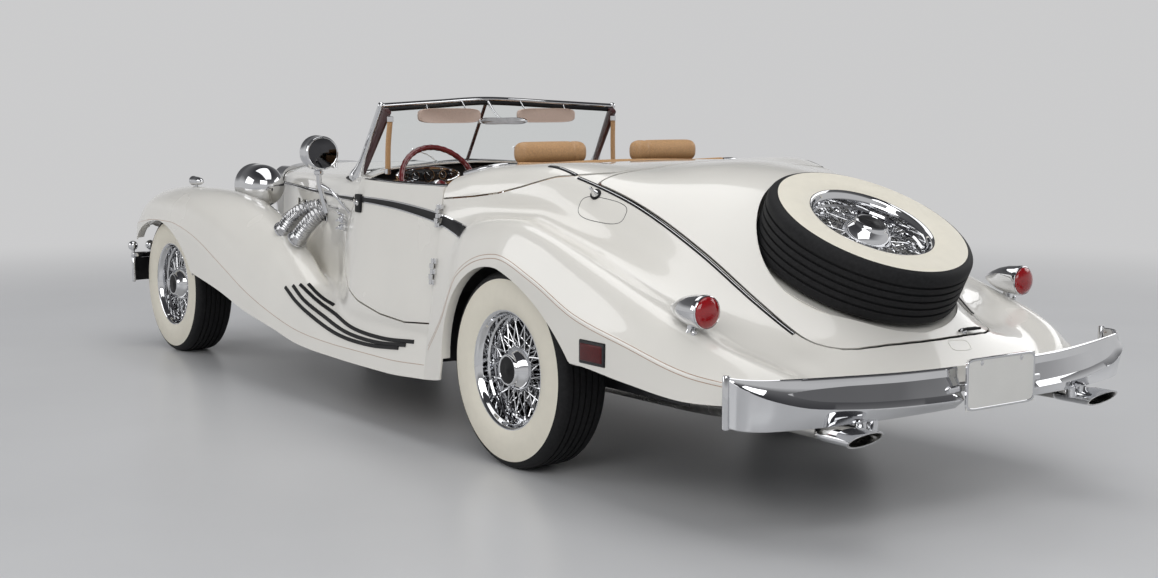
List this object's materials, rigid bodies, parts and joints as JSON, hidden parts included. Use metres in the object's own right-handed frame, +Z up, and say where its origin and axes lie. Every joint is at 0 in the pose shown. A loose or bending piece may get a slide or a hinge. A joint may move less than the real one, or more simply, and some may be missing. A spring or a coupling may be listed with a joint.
{
  "type": "roadster convertible",
  "caption": "Open two-seat roadster with swept front wings, long side-vented bonnet, wire wheels, folding-hood cover and a spare wheel set into the boot lid.",
  "frame": {"origin": "on the ground under the middle of the car", "axes": "+X forward, +Y to the left side, +Z up"},
  "size_m": [5.2, 1.7132, 1.291],
  "materials": {
    "body_paint": "gloss ivory white lacquer",
    "chrome": "polished chrome plate",
    "tyre": "ribbed black rubber with a wide cream sidewall",
    "tan_leather": "tan leather, grained",
    "chassis_paint": "satin black chassis paint",
    "engine_metal": "cast, painted grey",
    "clear_glass": "clear laminated glass",
    "red_lens": "ruby red moulded lens",
    "dash_wood": "varnished walnut",
    "wheel_rim": "dark red moulded rim",
    "visor_fabric": "pinkish tan woven cloth",
    "exhaust_steel": "aluminised steel, lightly heat stained",
    "plate_enamel": "blank pale enamel",
    "grille_black": "black core with bright bars"
  },
  "bodies": {
    "car_body": {"bonnet_side_left": "body_paint", "bonnet_side_right": "body_paint", "cabin_floor": "chassis_paint", "chassis_frame": "chassis_paint", "cowl": "body_paint", "dashboard": "dash_wood", "door_hinges": "body_paint", "driveshaft": "chassis_paint", "engine_block": "engine_metal", "exhaust_system": "exhaust_steel", "flex_pipes": "chrome", "front_axle": "chassis_paint", "front_bumper": "chrome", "front_wing_left": "body_paint", "front_wing_right": "body_paint", "fuel_tank": "chassis_paint", "gear_lever": "chrome", "headlamps": "chrome", "headrests": "tan_leather", "interior_mirror": "chrome", "leaf_springs": "chassis_paint", "marker_lamps": "chrome", "number_plate": "plate_enamel", "plate_bracket": "chrome", "radiator_grille": "grille_black", "radiator_shell": "chrome", "rear_axle": "chassis_paint", "rear_body": "body_paint", "rear_bumper": "chrome", "rear_fender_left": "body_paint", "rear_fender_right": "body_paint", "seats": "tan_leather", "side_walls": "body_paint", "spotlight": "chrome", "steering_column": "chassis_paint", "sun_visors": "visor_fabric", "tail_lamps": "chrome", "tail_lenses": "red_lens", "windscreen_frame": "chrome", "windscreen_glass": "clear_glass"},
    "door_left": {"door_left": "body_paint"},
    "door_right": {"door_right": "body_paint"},
    "bonnet_left": {"bonnet_left": "body_paint"},
    "bonnet_right": {"bonnet_right": "body_paint"},
    "hood_cover": {"hood_cover": "body_paint"},
    "trunk_lid": {"trunk_lid": "body_paint", "tyre_spare": "tyre", "wheel_spare": "chrome"},
    "steering_wheel": {"steering_wheel": "wheel_rim"},
    "knuckle_left": {"knuckle_left": "chassis_paint"},
    "knuckle_right": {"knuckle_right": "chassis_paint"},
    "wheel_front_left": {"tyre_front_left": "tyre", "wheel_front_left": "chrome"},
    "wheel_front_right": {"tyre_front_right": "tyre", "wheel_front_right": "chrome"},
    "wheel_rear_left": {"tyre_rear_left": "tyre", "wheel_rear_left": "chrome"},
    "wheel_rear_right": {"tyre_rear_right": "tyre", "wheel_rear_right": "chrome"}
  },
  "joints": [
    {"name": "steer_left", "type": "hinge", "parent": "car_body", "child": "knuckle_left", "pos_m": [2.1, 0.478, 0.292], "axis": [0, 0, 1], "range_deg": [-28, 28]},
    {"name": "steer_right", "type": "hinge", "parent": "car_body", "child": "knuckle_right", "pos_m": [2.1, -0.478, 0.292], "axis": [0, 0, 1], "range_deg": [-28, 28]},
    {"name": "steering_wheel_turn", "type": "hinge", "parent": "car_body", "child": "steering_wheel", "pos_m": [0.006, 0.36, 0.917], "axis": [-0.9063, 0, 0.4226], "range_deg": [-392, 392]},
    {"name": "roll_front_left", "type": "hinge", "parent": "knuckle_left", "child": "wheel_front_left", "pos_m": [2.1, 0.6175, 0.344], "axis": [0, 1, 0], "continuous": true},
    {"name": "roll_front_right", "type": "hinge", "parent": "knuckle_right", "child": "wheel_front_right", "pos_m": [2.1, -0.6175, 0.344], "axis": [0, 1, 0], "continuous": true},
    {"name": "roll_rear_left", "type": "hinge", "parent": "car_body", "child": "wheel_rear_left", "pos_m": [-1.1, 0.6725, 0.344], "axis": [0, 1, 0], "continuous": true},
    {"name": "roll_rear_right", "type": "hinge", "parent": "car_body", "child": "wheel_rear_right", "pos_m": [-1.1, -0.6725, 0.344], "axis": [0, 1, 0], "continuous": true},
    {"name": "door_left_swing", "type": "hinge", "parent": "car_body", "child": "door_left", "pos_m": [-0.5985, 0.75363, 0.7], "axis": [0, -0.1236, 0.9923], "range_deg": [0, 65]},
    {"name": "door_right_swing", "type": "hinge", "parent": "car_body", "child": "door_right", "pos_m": [-0.5985, -0.75363, 0.7], "axis": [0, -0.1236, -0.9923], "range_deg": [0, 65]},
    {"name": "bonnet_left_lift", "type": "hinge", "parent": "car_body", "child": "bonnet_left", "pos_m": [0.42, 0, 0.9974], "axis": [0.9995, 0, -0.0307], "range_deg": [0, 60]},
    {"name": "bonnet_right_lift", "type": "hinge", "parent": "car_body", "child": "bonnet_right", "pos_m": [0.42, 0, 0.9974], "axis": [-0.9995, 0, 0.0307], "range_deg": [0, 60]},
    {"name": "hood_cover_lift", "type": "hinge", "parent": "car_body", "child": "hood_cover", "pos_m": [-1.341, 0, 1.056], "axis": [0, -1, 0], "range_deg": [0, 60]},
    {"name": "trunk_lid_lift", "type": "hinge", "parent": "car_body", "child": "trunk_lid", "pos_m": [-1.359, 0, 1.056], "axis": [0, 1, 0], "range_deg": [0, 50]}
  ],
  "couplings": [
    {"joint": "steer_right", "follows": "steer_left", "ratio": 1},
    {"joint": "steering_wheel_turn", "follows": "steer_left", "ratio": 14}
  ]
}
